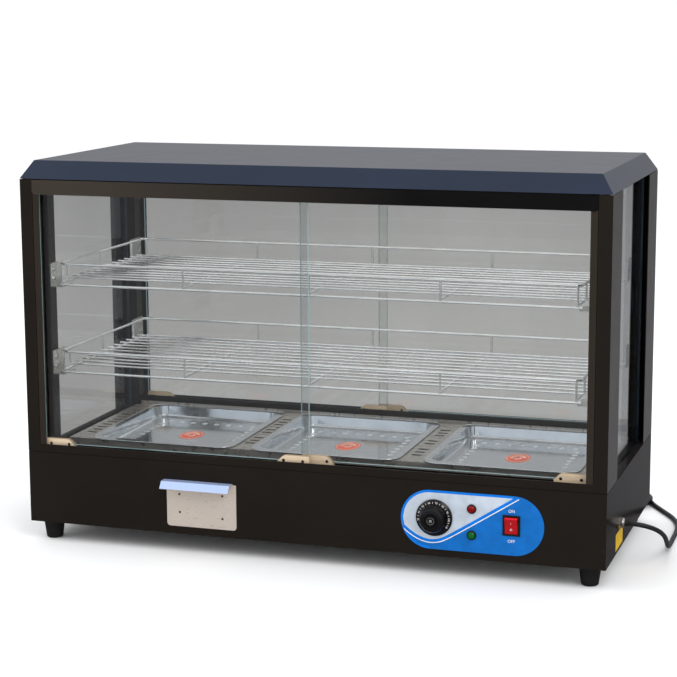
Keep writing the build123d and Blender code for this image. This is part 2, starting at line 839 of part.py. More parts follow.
with BuildPart() as power_cord:
    laid = 0.0
    for points in (route_points, tail_points):
        radii = cord_radii(points)
        laid += tube(points, radii, cord_radius)
        print("cord radii", [round(r, 1) for r in radii])
section_area = pi * cord_radius**2
print("cord volume over section x length", round(power_cord.part.volume / (section_area * laid), 4))
coiled = cord_length - laid
print("laid", round(laid, 1), "coiled", round(coiled, 1), "turns", round(coiled / (2 * pi * coil_mean), 2))
save(power_cord, "power_cord")

with BuildPart() as cord_coil:
    with BuildSketch(Plane.XZ.offset(-coil_centre[1])):
        with Locations((coil_centre[0] + coil_mean, coil_half)):
            RectangleRounded(2 * coil_half, 2 * coil_half, 3.4)
    revolve(axis=Axis((coil_centre[0], coil_centre[1], 0), (0, 0, 1)))
save(cord_coil, "cord_coil")

plug_end = tail_points[-1]
plug_back = Vector(plug_end[0] - tail_points[-2][0], plug_end[1] - tail_points[-2][1], 0)
plug_plane = Plane(origin=plug_end, x_dir=(0, 0, 1), z_dir=plug_back)
with BuildPart() as power_plug:
    with BuildSketch(plug_plane):
        RectangleRounded(14, 15, 4)
    with BuildSketch(plug_plane.offset(22)):
        RectangleRounded(17.6, 34, 7)
    loft()
    with BuildSketch(plug_plane.offset(22)):
        RectangleRounded(17.6, 34, 7)
    extrude(amount=10)
    with BuildSketch(plug_plane.offset(32)):
        with Locations((0, -7), (0, 7)):
            Rectangle(1.6, 6.3)
    extrude(amount=17)
save(power_plug, "power_plug")
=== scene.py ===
"""Looks of the food holding cabinet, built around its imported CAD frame.

+X points to the cord side and -Y to the front. Shapes are in millimetres, the room in metres.
"""

from math import cos, pi, radians, sin, sqrt

import bpy
from mathutils import Matrix, Vector


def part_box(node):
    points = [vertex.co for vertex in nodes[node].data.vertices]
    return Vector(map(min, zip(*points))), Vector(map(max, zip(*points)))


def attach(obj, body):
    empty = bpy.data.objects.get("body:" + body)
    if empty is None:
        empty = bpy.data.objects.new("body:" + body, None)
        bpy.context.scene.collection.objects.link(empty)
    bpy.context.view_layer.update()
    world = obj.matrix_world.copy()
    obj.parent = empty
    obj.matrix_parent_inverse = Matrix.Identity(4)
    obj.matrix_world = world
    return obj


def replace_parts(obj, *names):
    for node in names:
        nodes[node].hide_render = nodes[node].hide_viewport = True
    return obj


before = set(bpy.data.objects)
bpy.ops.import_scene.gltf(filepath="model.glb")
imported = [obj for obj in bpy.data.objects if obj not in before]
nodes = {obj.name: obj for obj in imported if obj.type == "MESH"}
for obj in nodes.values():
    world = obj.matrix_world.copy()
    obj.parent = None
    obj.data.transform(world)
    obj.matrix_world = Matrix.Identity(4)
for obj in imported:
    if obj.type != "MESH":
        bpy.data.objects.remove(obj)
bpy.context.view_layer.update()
scene = bpy.context.scene
MM = 0.001


# ---------------------------------------------------------------- camera and cord
CAMERA_TURNS = (18.03, 10.21, -0.27)      # round to the right, down and roll, in degrees
CAMERA_SPOT = (0.89089, -2.75808, 0.83021)
LENS, SENSOR = 100.87, 36


def make_camera():
    """A long lens a little right of the front and above the hood."""
    azimuth, down, roll = (radians(turn) for turn in CAMERA_TURNS)
    forward = Vector((-sin(azimuth) * cos(down), cos(azimuth) * cos(down), -sin(down)))
    level = Vector((cos(azimuth), sin(azimuth), 0))
    upright = level.cross(forward)
    right = level * cos(roll) + upright * sin(roll)
    up = upright * cos(roll) - level * sin(roll)
    data = bpy.data.cameras.new("camera")
    data.lens = LENS
    data.sensor_width = SENSOR
    camera = bpy.data.objects.new("camera", data)
    axes = Matrix((right, up, -forward)).transposed().to_4x4()
    camera.matrix_world = Matrix.Translation(CAMERA_SPOT) @ axes
    scene.collection.objects.link(camera)
    scene.camera = camera


CORD_RADIUS = 3.5
GLAND_Y, GLAND_Z = -89.0, 74.0
COIL_CENTRE = (398.0, 292.0)
COIL_TURN_POINTS = 13
COIL_INNER, COIL_STEP = 35.5, 7.0         # radius of the inner turns, and what the outer ones add
COIL_FIRST, COIL_LAST = 12, 1180          # degrees round the coil
TURNS_IN, CLIMBS, TURNS_OUT = (295, 345), (655, 705), (1015, 1065)
PLUG_START, PLUG_END = (322, 313, 6), (298, 304, 9)


def ease(value, low, high):
    """0 below low, 1 above high, and a smooth rise between."""
    t = min(max((value - low) / (high - low), 0), 1)
    return t * t * (3 - 2 * t)


def coil_points(start, end):
    """Points round the coil: outer turn, inner turns, then back out on top of them."""
    points = []
    step = 360 / COIL_TURN_POINTS
    angle = start
    while angle < end:
        outward = 1 - ease(angle, *TURNS_IN) + ease(angle, *TURNS_OUT)
        reach = COIL_INNER + COIL_STEP * outward
        height = CORD_RADIUS * (1 + 2 * ease(angle, *CLIMBS))
        x = COIL_CENTRE[0] + reach * cos(radians(angle))
        y = COIL_CENTRE[1] + reach * sin(radians(angle))
        points.append((x, y, height))
        angle += step
    return points


def cord_route():
    """From the gland down to the counter, round behind the cabinet and into the coil."""
    floor = CORD_RADIUS
    route = [
        (446, GLAND_Y, GLAND_Z),
        (470, GLAND_Y, GLAND_Z),
        (490, -87, 71.5),
        (506, -72, 62),
        (512, -47, 47),
        (511, -17, 29),
        (508, 15, 14),
        (506, 50, floor + 1.5),
        (505, 89, floor),
        (505, 130, floor),
        (502, 172, floor),
        (490, 210, floor),
        (466, 250, floor),
        (446, 284, floor),
    ]
    route += coil_points(COIL_FIRST, COIL_LAST)
    route += [(374, 329.5, 10.5), (347, 324, floor), PLUG_START, PLUG_END]
    return route


# ---------------------------------------------------------------- materials
def mix_colors(tree, factor, first, second):
    """A colour between two, each a colour or a colour socket."""
    made = tree.nodes.new("ShaderNodeMix")
    made.data_type = "RGBA"
    tree.links.new(factor, made.inputs[0])
    for socket, value in ((made.inputs[6], first), (made.inputs[7], second)):
        if hasattr(value, "is_linked"):
            tree.links.new(value, socket)
        else:
            socket.default_value = (*value, 1)
    return made.outputs[2]


class Look:
    """A Principled material with a few object-space textures on it."""

    def __init__(self, name, color, rough, metal=0.0, specular=0.5):
        self.material = bpy.data.materials.new(name)
        self.material.use_nodes = True
        self.tree = self.material.node_tree
        self.shader = self.tree.nodes["Principled BSDF"]
        self.set("Base Color", (*color, 1))
        self.set("Roughness", rough)
        self.set("Metallic", metal)
        self.set("Specular IOR Level", specular)
        self.color = color
        self.height = None

    def set(self, socket, value):
        self.shader.inputs[socket].default_value = value

    def node(self, kind, **settings):
        made = self.tree.nodes.new("ShaderNode" + kind)
        for key, value in settings.items():
            setattr(made, key, value)
        return made

    def link(self, output, target):
        self.tree.links.new(output, target)

    def place(self, stretch=(1, 1, 1)):
        """Object coordinates, stretched."""
        coordinates = self.node("TexCoord")
        mapping = self.node("Mapping")
        mapping.inputs["Scale"].default_value = stretch
        self.link(coordinates.outputs["Object"], mapping.inputs["Vector"])
        return mapping.outputs["Vector"]

    def noise(self, scale, detail=3.0, stretch=(1, 1, 1)):
        made = self.node("TexNoise")
        made.inputs["Scale"].default_value = scale
        made.inputs["Detail"].default_value = detail
        self.link(self.place(stretch), made.inputs["Vector"])
        return made.outputs["Fac"]

    def spread(self, value, low, high, from_low=0.3, from_high=0.7):
        """A value in a narrow band spread to another range."""
        made = self.node("MapRange")
        ends = {"From Min": from_low, "From Max": from_high, "To Min": low, "To Max": high}
        for socket, number in ends.items():
            made.inputs[socket].default_value = number
        self.link(value, made.inputs["Value"])
        return made.outputs["Result"]

    def mix(self, factor, first, second):
        return mix_colors(self.tree, factor, first, second)

    def paint(self, output):
        self.link(output, self.shader.inputs["Base Color"])

    def vary(self, scale, darker, stretch=(1, 1, 1)):
        """Slow variation of the base colour, down to a share of it."""
        factor = self.spread(self.noise(scale, 4.0, stretch), 0, 1)
        low = tuple(c * darker for c in self.color)
        self.paint(self.mix(factor, low, self.color))
        return self

    def gloss(self, low, high, scale, stretch=(1, 1, 1)):
        """Roughness that wanders between two values."""
        output = self.spread(self.noise(scale, 4.0, stretch), low, high)
        self.link(output, self.shader.inputs["Roughness"])
        return self

    def bump(self, scale, depth, detail=2.0, stretch=(1, 1, 1)):
        """Relief of a given depth in metres; a second call adds a finer one."""
        made = self.node("Bump")
        made.inputs["Strength"].default_value = 0.6
        made.inputs["Distance"].default_value = depth
        self.link(self.noise(scale, detail, stretch), made.inputs["Height"])
        if self.height is not None:
            self.link(self.height, made.inputs["Normal"])
        self.height = made.outputs["Normal"]
        self.link(self.height, self.shader.inputs["Normal"])
        return self

    def part(self, vector, axis):
        """One of the X, Y and Z parts of a vector."""
        parts = self.node("SeparateXYZ")
        self.link(vector, parts.inputs[0])
        return parts.outputs[axis]

    def normal(self, axis):
        """How far a face turns towards one of the object's axes, from -1 to 1."""
        return self.part(self.node("TexCoord").outputs["Normal"], axis)

    def facing(self, axis):
        """How squarely a face lies across one of the object's axes, from 0 to 1."""
        size = self.node("Math", operation="ABSOLUTE")
        self.link(self.normal(axis), size.inputs[0])
        return size.outputs[0]


ORANGE_PEEL = (900, 0.00003)              # scale and depth of the finest relief of baked enamel
SHEET_RIPPLE = 2.6                        # scale of the slow ripples in thin sheet
EVEN, ROLLED = (1, 1, 1), (1, 6, 1)        # stretch of a metal's grain


def enamel(name, color, rough, specular, ripple):
    """Baked enamel on sheet steel: orange peel, slow ripples and faint handling marks."""
    look = Look(name, color, rough, specular=specular)
    look.vary(9, 0.82)
    look.gloss(rough * 0.95, rough * 1.1, 30)
    look.bump(SHEET_RIPPLE, ripple, 0.0)
    look.bump(*ORANGE_PEEL)
    return look.material


def sheet_metal(name, color, rough, grain, grain_depth=0.00002, ripple=0.0, metal=1.0):
    """Bare metal sheet with a rolled or brushed grain along one direction."""
    look = Look(name, color, rough, metal=metal)
    look.vary(30, 0.86, stretch=grain)
    look.gloss(rough * 0.7, rough * 1.5, 60, stretch=grain)
    if ripple:
        look.bump(7, ripple, 1.0)
    look.bump(260, grain_depth, stretch=grain)
    return look.material


def plastic(name, color, rough, specular=0.5, depth=0.00002):
    """Moulded plastic, rubber or printed film, with a fine texture."""
    look = Look(name, color, rough, specular=specular)
    look.vary(60, 0.8)
    look.gloss(rough * 0.8, rough * 1.25, 90)
    look.bump(1400, depth)
    return look.material


def pane_glass(name, thin_axis, passed, edge_color):
    """Toughened glass: a face mirrors what it doesn't let through, and the edges are tinted."""
    look = Look(name, edge_color, 0.12)
    through = look.node("BsdfTransparent")
    # Slow soft patches where less light passes: partly haze on the panes and partly a painted
    # reflection.
    haze_and_painted_reflection = look.spread(look.noise(2.6, 4, (1, 1, 0.6)), 0, 1)
    low = tuple(c * 0.92 for c in passed)
    look.link(look.mix(haze_and_painted_reflection, low, passed), through.inputs["Color"])
    mirror = look.node("BsdfGlossy")
    mirror.inputs["Color"].default_value = (0.95, 0.97, 0.98, 1)
    mirror.inputs["Roughness"].default_value = 0.015
    weight = look.node("LayerWeight")
    weight.inputs["Blend"].default_value = 0.5
    grazing = look.node("Math", operation="POWER")
    grazing.inputs[1].default_value = 5.0
    look.link(weight.outputs["Facing"], grazing.inputs[0])
    face = look.node("MixShader")
    look.link(look.spread(grazing.outputs[0], 0.04, 1.0, 0, 1), face.inputs[0])
    look.link(through.outputs[0], face.inputs[1])
    look.link(mirror.outputs[0], face.inputs[2])
    edge = look.spread(look.facing(thin_axis), 0.85, 0.0, 0.5, 0.9)
    whole = look.node("MixShader")
    look.link(edge, whole.inputs[0])
    look.link(face.outputs[0], whole.inputs[1])
    look.link(look.shader.outputs[0], whole.inputs[2])
    look.link(whole.outputs[0], look.tree.nodes["Material Output"].inputs["Surface"])
    return look.material


def rail_enamel():
    """Enamel of the top rails with a painted reflection: brownish on the left fading to deep black
    on the right.
    """
    look = Look("rail_enamel", (0.03, 0.025, 0.019), 0.2, specular=0.2)
    # Painted reflection: the colour fades along X from a brownish tone to deep black.
    along = look.spread(look.part(look.place(), "X"), 0, 1, -0.34, 0.16)
    look.paint(look.mix(along, (0.036, 0.029, 0.022), (0.0012, 0.001, 0.001)))
    look.gloss(0.19, 0.24, 30)
    look.bump(SHEET_RIPPLE, 0.0004, 0.0)
    look.bump(*ORANGE_PEEL)
    return look.material


def rocker_plastic():
    """Translucent red plastic with a painted highlight: a brighter red where a face leans back to
    the light.
    """
    red, lit_red = (0.36, 0.001, 0.005), (0.95, 0.02, 0.035)
    look = Look("rocker_red", red, 0.16, specular=0.35)
    # Faces turned up get lit_red, a painted highlight.
    painted_light_mask = look.spread(look.normal("Z"), 0, 1, 0.26, 0.5)
    look.paint(look.mix(painted_light_mask, red, lit_red))
    look.gloss(0.14, 0.2, 90)
    look.bump(1400, 0.000004)
    return look.material


ENAMEL = enamel("black_enamel", (0.0125, 0.0092, 0.0067), 0.24, 0.12, 0.0003)
SIDE_ENAMEL = enamel("side_enamel", (0.0125, 0.0098, 0.0098), 0.12, 0.008, 0.0004)
STILE_ENAMEL = enamel("stile_enamel", (0.024, 0.018, 0.013), 0.2, 0.2, 0.0003)
RAIL_ENAMEL = rail_enamel()
HOOD = enamel("hood_enamel", (0.014, 0.022, 0.042), 0.20, 0.25, 0.0002)
DECK = sheet_metal("deck_steel", (0.36, 0.335, 0.30), 0.3, ROLLED, 0.000003, metal=0.6)
PAN = sheet_metal("pan_steel", (0.66, 0.68, 0.70), 0.10, ROLLED, 0.000003, 0.0004, metal=0.88)
DIMPLE = sheet_metal("pan_dimple", (0.62, 0.64, 0.66), 0.4, EVEN, 0.000002, metal=0.6)
CHROME = sheet_metal("chrome_wire", (0.93, 0.93, 0.92), 0.14, EVEN, 0.000005, metal=0.82)
ZINC = sheet_metal("zinc_plate", (0.66, 0.65, 0.61), 0.28, EVEN, 0.00001, metal=0.85)
SCREW = sheet_metal("screw_zinc", (0.62, 0.61, 0.58), 0.28, EVEN, 0.00001)
# The carriers' brass tint is a painted warm reflection on steel.
CARRIER = sheet_metal("carrier_steel", (0.80, 0.62, 0.43), 0.4, (1, 1, 10), metal=0.25)
NICKEL = sheet_metal("gland_nickel", (0.42, 0.39, 0.35), 0.2, EVEN, 0.00001)
ELEMENT = sheet_metal("element_steel", (0.26, 0.21, 0.17), 0.4, EVEN)
WELD = sheet_metal("weld_tint", (0.20, 0.07, 0.04), 0.45, EVEN)
NYLON = plastic("wheel_nylon", (0.72, 0.71, 0.66), 0.4)
RUBBER = plastic("foot_rubber", (0.010, 0.009, 0.009), 0.6, 0.2, depth=0.00006)
CORD = plastic("cord_rubber", (0.010, 0.011, 0.013), 0.42, 0.25, depth=0.00004)
BLACK = plastic("housing_black", (0.010, 0.008, 0.007), 0.4, 0.2)
KNOB = plastic("knob_black", (0.0045, 0.004, 0.004), 0.22, 0.24, depth=0.00001)
PHENOLIC = plastic("thermostat_body", (0.42, 0.36, 0.28), 0.5)
RED_LENS = plastic("red_lens", (0.20, 0.001, 0.001), 0.1, 0.2, depth=0.000002)
GREEN_LENS = plastic("green_lens", (0.002, 0.11, 0.012), 0.1, 0.2, depth=0.000002)
ROCKER = rocker_plastic()
LABEL = plastic("label_blue", (0.005, 0.135, 0.47), 0.3, 0.1, depth=0.000006)
LABEL_EDGE = plastic("label_bright_blue", (0.002, 0.175, 0.68), 0.3, 0.1, depth=0.000006)
LABEL_SILVER = plastic("label_silver", (0.50, 0.56, 0.64), 0.34, 0.3, depth=0.000006)
PRINT_WHITE = plastic("print_white", (0.84, 0.80, 0.76), 0.4, 0.2)
STICKER = plastic("sticker_red", (0.90, 0.11, 0.04), 0.35, 0.2)
STICKER_PALE = plastic("sticker_pale", (0.95, 0.62, 0.5), 0.35, 0.2)
YELLOW = plastic("label_yellow", (0.70, 0.43, 0.006), 0.35, 0.15)


def drawer_steel():
    """Brushed stainless painted with warm light on its face and a cold blue painted reflection on
    its sloping lip.
    """
    look = Look("drawer_steel", (0.60, 0.52, 0.45), 0.34, metal=0.35)
    painted_light_mask = look.spread(look.normal("Z"), 0, 1, 0.25, 0.55)
    scratch = look.spread(look.noise(120, 6, (1, 1, 9)), 0, 1)
    # The face's two warm tones, varied by the scratches, are painted warm light; faces turned up
    # get the lip's painted cold reflection.
    face = look.mix(scratch, (0.56, 0.485, 0.42), (0.62, 0.545, 0.475))
    look.paint(look.mix(painted_light_mask, face, (0.42, 0.52, 0.78)))
    look.gloss(0.26, 0.44, 50, stretch=(1, 1, 6))
    look.bump(300, 0.00002, stretch=(1, 1, 8))
    return look.material


DRAWER = drawer_steel()
CLEAR = (0.97, 0.975, 0.97)
DOOR_GLASS = pane_glass("door_glass", "Y", CLEAR, (0.28, 0.42, 0.44))
SIDE_GLASS = pane_glass("side_glass", "X", CLEAR, (0.03, 0.05, 0.07))

DOORS = ("front_left", "front_right", "rear_left", "rear_right")
POSTS = [corner + "_post" for corner in DOORS]
PANS = ("left_pan", "middle_pan", "right_pan")
WORN = {
    ENAMEL: ["base_front_panel", "base_rear_panel", "base_bottom_plate", "base_top_frame",
             "front_track", "rear_track", "ceiling_panel"] + POSTS,
    STILE_ENAMEL: ["door_stiles"],
    SIDE_ENAMEL: ["base_left_panel", "base_right_panel"],
    RAIL_ENAMEL: ["front_top_rail", "rear_top_rail"],
    HOOD: ["hood_cover"],
    DECK: ["deck_plate", "drawer_tank"],
    PAN: list(PANS),
    CHROME: ["lower_shelf_grid", "lower_shelf_guard", "upper_shelf_grid", "upper_shelf_guard"],
    ZINC: ["shelf_brackets"],
    SCREW: ["screws"],
    SIDE_GLASS: ["left_side_glass", "right_side_glass"],
    DOOR_GLASS: [door + "_glass" for door in DOORS],
    CARRIER: [door + "_carriers" for door in DOORS],
    NYLON: [f"{door}_wheel_{side}" for door in DOORS for side in ("left", "right")],
    RUBBER: ["rubber_feet"],
    LABEL: ["control_label"],
    KNOB: ["knob"],
    PHENOLIC: ["thermostat"],
    RED_LENS: ["red_lamp"],
    GREEN_LENS: ["green_lamp"],
    BLACK: ["rocker_housing", "power_plug"],
    ROCKER: ["rocker"],
    DRAWER: ["drawer_front"],
    ELEMENT: ["heating_element"],
    NICKEL: ["cable_gland"],
    CORD: ["power_cord", "cord_coil"],
}


def dress_nodes():
    """Each CAD node in the material it is made of."""
    for material, names in WORN.items():
        for name in names:
            slots = nodes[name].data.materials
            slots.clear()
            slots.append(material)


# ---------------------------------------------------------------- small pieces
FORWARD = (0, -1, 0)


def put_on(name, mesh, body, material):
    """A mesh as a visible piece of one material, riding on a body."""
    mesh.materials.clear()
    mesh.materials.append(material)
    made = bpy.data.objects.new(name, mesh)
    scene.collection.objects.link(made)
    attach(made, body)
    return made


def piece(name, points, faces, body, material, smooth=False):
    """A piece made of points in millimetres."""
    mesh = bpy.data.meshes.new(name)
    mesh.from_pydata([Vector(p) * MM for p in points], [], faces)
    mesh.validate()
    mesh.polygons.foreach_set("use_smooth", [smooth] * len(mesh.polygons))
    return put_on(name, mesh, body, material)


def circle(segments):
    """Cosine and sine of evenly spaced angles."""
    turns = [2 * pi * i / segments for i in range(segments)]
    return [(cos(turn), sin(turn)) for turn in turns]


def ring_faces(low, high, segments):
    """Faces between two rings of points, which start at low and high."""
    pairs = [(i, (i + 1) % segments) for i in range(segments)]
    return [(low + i, low + j, high + j, high + i) for i, j in pairs]


def strip(name, upper, lower, y_back, thickness, body, material):
    """A thin plate facing -Y between two lines of (x, z) points of the same length."""
    count = len(upper)
    points = []
    for y in (y_back - thickness, y_back):
        points += [(x, y, z) for x, z in upper]
        points += [(x, y, z) for x, z in lower]
    back = 2 * count
    faces = []
    for i in range(count - 1):
        faces.append((i, count + i, count + i + 1, i + 1))
        faces.append((back + i, back + i + 1, back + count + i + 1, back + count + i))
        faces.append((i, i + 1, back + i + 1, back + i))
        faces.append((count + i, back + count + i, back + count + i + 1, count + i + 1))
    last = count - 1
    faces.append((0, back, back + count, count))
    faces.append((last, count + last, back + count + last, back + last))
    return piece(name, points, faces, body, material)


def lathe(name, profile, origin, axis, body, material, segments=48):
    """A turned piece from (radius, height) points along an axis; radius 0 closes an end."""
    axis = Vector(axis).normalized()
    side = axis.orthogonal().normalized()
    other = axis.cross(side)
    points = []
    rows = []
    for radius, height in profile:
        centre = Vector(origin) + axis * height
        if radius == 0:
            rows.append([len(points)])
            points.append(centre)
            continue
        rows.append(list(range(len(points), len(points) + segments)))
        points += [centre + (side * c + other * s) * radius for c, s in circle(segments)]
    faces = []
    for low, high in zip(rows, rows[1:]):
        for i in range(segments):
            j = (i + 1) % segments
            if len(low) == 1:
                faces.append((low[0], high[j], high[i]))
            elif len(high) == 1:
                faces.append((low[i], low[j], high[0]))
            else:
                faces.append((low[i], low[j], high[j], high[i]))
    made = piece(name, points, faces, body, material, smooth=True)
    made.data.set_sharp_from_angle(angle=radians(35))
    return made


PRINT_DEPTH = 0.06


def lettering(name, text, size, place, body, material):
    """Raised print, facing -Y before place moves it; size is in millimetres."""
    curve = bpy.data.curves.new(name, "FONT")
    curve.body = text
    curve.size = size * MM
    curve.extrude = PRINT_DEPTH * MM
    curve.resolution_u = 4
    curve.align_x = "CENTER"
    curve.align_y = "CENTER"
    source = bpy.data.objects.new(name + "_line", curve)
    scene.collection.objects.link(source)
    mesh = bpy.data.meshes.new_from_object(source)
    bpy.data.objects.remove(source)
    mesh.transform(place @ Matrix.Rotation(radians(90), 4, "X"))
    return put_on(name, mesh, body, material)


def at(x, y, z):
    """A move to a place in millimetres."""
    return Matrix.Translation(Vector((x, y, z)) * MM)


# ---------------------------------------------------------------- power lead
def make_cord():
    """One smooth lead for both the laid-out cord and its coil."""
    route = cord_route()
    curve = bpy.data.curves.new("power_lead", "CURVE")
    curve.dimensions = "3D"
    spline = curve.splines.new("NURBS")
    spline.points.add(len(route) - 1)
    for point, spot in zip(spline.points, route):
        point.co = (*(Vector(spot) * MM), 1)
    spline.order_u = 3
    spline.use_endpoint_u = True
    spline.resolution_u = 8
    curve.bevel_depth = CORD_RADIUS * MM
    curve.bevel_resolution = 6
    curve.use_fill_caps = True
    curve.materials.append(CORD)
    lead = bpy.data.objects.new("power_lead", curve)
    scene.collection.objects.link(lead)
    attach(lead, "cabinet")
    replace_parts(lead, "power_cord", "cord_coil")


# ---------------------------------------------------------------- control panel
LABEL_LEFT, LABEL_BOTTOM = 149.0, 40.5
LABEL_LENGTH, LABEL_HEIGHT = 212.0, 88.0
LABEL_FACE = -189.5
END_RADIUS = LABEL_HEIGHT / 2
LABEL_RIM = 3.6
LAMP_X, RED_LAMP_Z, GREEN_LAMP_Z = 255.0, 105.0, 66.0
ROCKER_PIVOT = Vector((313.5, -189.7, 85.0))
ROCKER_LEAN = radians(12)
KNOB_X, KNOB_Z = 199.5, 88.0
KNOB_BASE, KNOB_FRONT = -190.0, -212.0


def stadium_half_height(u, inset):
    """Half the label's height at a distance u from its left end, inside an inset."""
    from_end = min(u, LABEL_LENGTH - u)
    reach = END_RADIUS - inset
    if from_end >= END_RADIUS:
        return reach
    return sqrt(max(reach**2 - (END_RADIUS - from_end) ** 2, 0))


def swoosh(u):
    """Height of the S curve that divides the silver field from the blue one."""
    rise = 0.647 * ((u - 57) + sqrt((u - 57) ** 2 + 100)) / 2
    return 13.0 + 21 * (max(49 - u, 0) / 45) ** 2 + rise


def on_panel(points):
    """Points on the label, from its own corner, as (x, z) points of the cabinet."""
    return [(LABEL_LEFT + u, LABEL_BOTTOM + w) for u, w in points]


def offset_swoosh(us, distance):
    """The S curve moved square to itself, downwards and to the right."""
    moved = []
    for u in us:
        slope = swoosh(u + 0.5) - swoosh(u - 0.5)
        size = sqrt(1 + slope**2)
        moved.append((u + slope / size * distance, swoosh(u) - distance / size))
    return moved


def keep_inside(point):
    """The point, held inside the label's outline."""
    u = min(max(point[0], 1.5), LABEL_LENGTH - 1.5)
    half = stadium_half_height(u, 1.2)
    return u, min(max(point[1], END_RADIUS - half), END_RADIUS + half)


def label_strip(name, upper, lower, thickness, material):
    """A printed field of the label between two lines on it."""
    strip(name, on_panel(upper), on_panel(lower), LABEL_FACE, thickness, "cabinet",
          material)


def make_label_print():
    """The label's bright left border, silver field, S-shaped bands and the switch's two words."""
    ring_outer, ring_inner = [], []
    for i in range(24, 73):
        turn = 2 * pi * i / 96
        centre_u = END_RADIUS if cos(turn) < 0 else LABEL_LENGTH - END_RADIUS
        for line, reach in ((ring_outer, END_RADIUS - 0.2), (ring_inner, END_RADIUS - LABEL_RIM)):
            line.append((centre_u + reach * cos(turn), END_RADIUS + reach * sin(turn)))
    label_strip("label_border", ring_outer, ring_inner, 0.06, LABEL_EDGE)
    field_end = 170.0
    us = [LABEL_RIM + 0.05 + i * (field_end - LABEL_RIM) / 90 for i in range(91)]
    top = [(u, END_RADIUS + stadium_half_height(u, LABEL_RIM)) for u in us]
    floor = [END_RADIUS - stadium_half_height(u, LABEL_RIM) for u in us]
    bottom = [(u, min(max(swoosh(u), low), high)) for u, low, (_, high) in zip(us, floor, top)]
    label_strip("label_silver_field", top, bottom, 0.10, LABEL_SILVER)
    band = [2.5 + i * field_end / 80 for i in range(81)]
    for name, near, far, height, material in (
        ("label_band", -0.3, 4.2, 0.14, LABEL_EDGE),
        ("label_pinstripe", 4.2, 5.5, 0.16, PRINT_WHITE),
    ):
        inner = [keep_inside(p) for p in offset_swoosh(band, near)]
        outer = [keep_inside(p) for p in offset_swoosh(band, far)]
        label_strip(name, inner, outer, height, material)
    for name, text, z in (("print_on", "ON", 106.0), ("print_off", "OFF", 61.5)):
        place = at(ROCKER_PIVOT.x, LABEL_FACE - 0.08, z)
        lettering(name, text, 6.0, place, "cabinet", PRINT_WHITE)


def make_knob_details():
    """White dial marks on the skirt, and a silver cap in the middle of the grip."""
    dial = range(30, 120, 10)
    first, last = -98, 118
    number_reach, tick_reach, tick_half = 22.9, (22.0, 24.2), 0.35
    for n, number in enumerate(dial):
        turn = radians(first + (last - first) * n / (len(dial) - 1))
        spot = Vector((KNOB_X + number_reach * sin(turn), KNOB_BASE - 4.95,
                       KNOB_Z + number_reach * cos(turn)))
        place = Matrix.Translation(spot * MM) @ Matrix.Rotation(turn, 4, "Y")
        lettering(f"dial_number_{number}", str(number), 4.0, place, "knob",
                  PRINT_WHITE)
        if n == len(dial) - 1:
            continue
        between = turn + radians((last - first) / (len(dial) - 1) / 2)
        ends = [(KNOB_X + r * sin(between), KNOB_Z + r * cos(between)) for r in tick_reach]
        across = (tick_half * cos(between), -tick_half * sin(between))
        left = [(x - across[0], z - across[1]) for x, z in ends]
        right = [(x + across[0], z + across[1]) for x, z in ends]
        strip(f"dial_tick_{n}", left, right, KNOB_BASE - 4.6, 0.35, "knob",
              PRINT_WHITE)
    cap = [(5.3, -0.5), (5.3, 0.0), (4.9, 0.0), (3.4, -0.35), (2.2, 0.0), (0, 0.0)]
    lathe("knob_cap", cap, (KNOB_X, KNOB_FRONT, KNOB_Z), FORWARD, "knob", ZINC)
    ring = [(9.2, 0.2), (10.0, 0.9), (11.4, 1.0), (12.6, 0.6), (12.9, 0.0)]
    lathe("knob_recess_ring", ring, (KNOB_X, KNOB_BASE - 18.6, KNOB_Z), FORWARD, "knob",
          KNOB)


def make_lamp_bezels():
    """A black ring round each lens."""
    profile = [(6.95, 0.0), (6.95, 1.7), (6.5, 2.3), (5.7, 2.7), (5.3, 2.4)]
    for name, z in (("red_lamp_bezel", RED_LAMP_Z), ("green_lamp_bezel", GREEN_LAMP_Z)):
        lathe(name, profile, (LAMP_X, LABEL_FACE, z), FORWARD, "cabinet", BLACK)


def make_rocker_marks():
    """The I and O of the switch, on the rocker's two faces."""
    marks = (("rocker_i", "I", 4.2, 4.6, -3.33), ("rocker_o", "O", 4.6, -5.2, -3.4))
    dish = radians(5.9)           # how far each face leans from the middle one
    for name, text, size, along, depth in marks:
        y = depth * cos(ROCKER_LEAN) - along * sin(ROCKER_LEAN)
        z = depth * sin(ROCKER_LEAN) + along * cos(ROCKER_LEAN)
        slope = ROCKER_LEAN + (dish if along > 0 else -dish)
        spot = ROCKER_PIVOT + Vector((0, y, z))
        place = Matrix.Translation(spot * MM) @ Matrix.Rotation(slope, 4, "X")
        lettering(name, text, size, place, "rocker", PRINT_WHITE)


# ---------------------------------------------------------------- trim
def arc_plate(name, centre, radii, turns, thickness, body, material):
    """A flat curved band lying level: radii inner and outer, turns first and last in degrees."""
    points, faces = [], []
    cx, cy, cz = centre
    segments = 40
    for i in range(segments + 1):
        turn = radians(turns[0] + (turns[1] - turns[0]) * i / segments)
        for z in (cz, cz + thickness):
            points += [(cx + r * cos(turn), cy + r * sin(turn), z) for r in radii]
    for i in range(segments):
        a, b = 4 * i, 4 * i + 4
        faces += [(a, a + 1, b + 1, b), (a + 2, b + 2, b + 3, a + 3)]
        faces += [(a, b, b + 2, a + 2), (a + 1, a + 3, b + 3, b + 1)]
    last = 4 * segments
    faces += [(0, 2, 3, 1), (last, last + 1, last + 3, last + 2)]
    return piece(name, points, faces, body, material)


PAN_SHEET = 0.85
SEAL_THICKNESS, SEAL_STRETCH = 0.12, 1.5


def pan_floor(name):
    """Centre of the top of a pan's floor, in millimetres."""
    low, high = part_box(name)
    return (low.x + high.x) / 2 / MM, (low.y + high.y) / 2 / MM, low.z / MM + PAN_SHEET


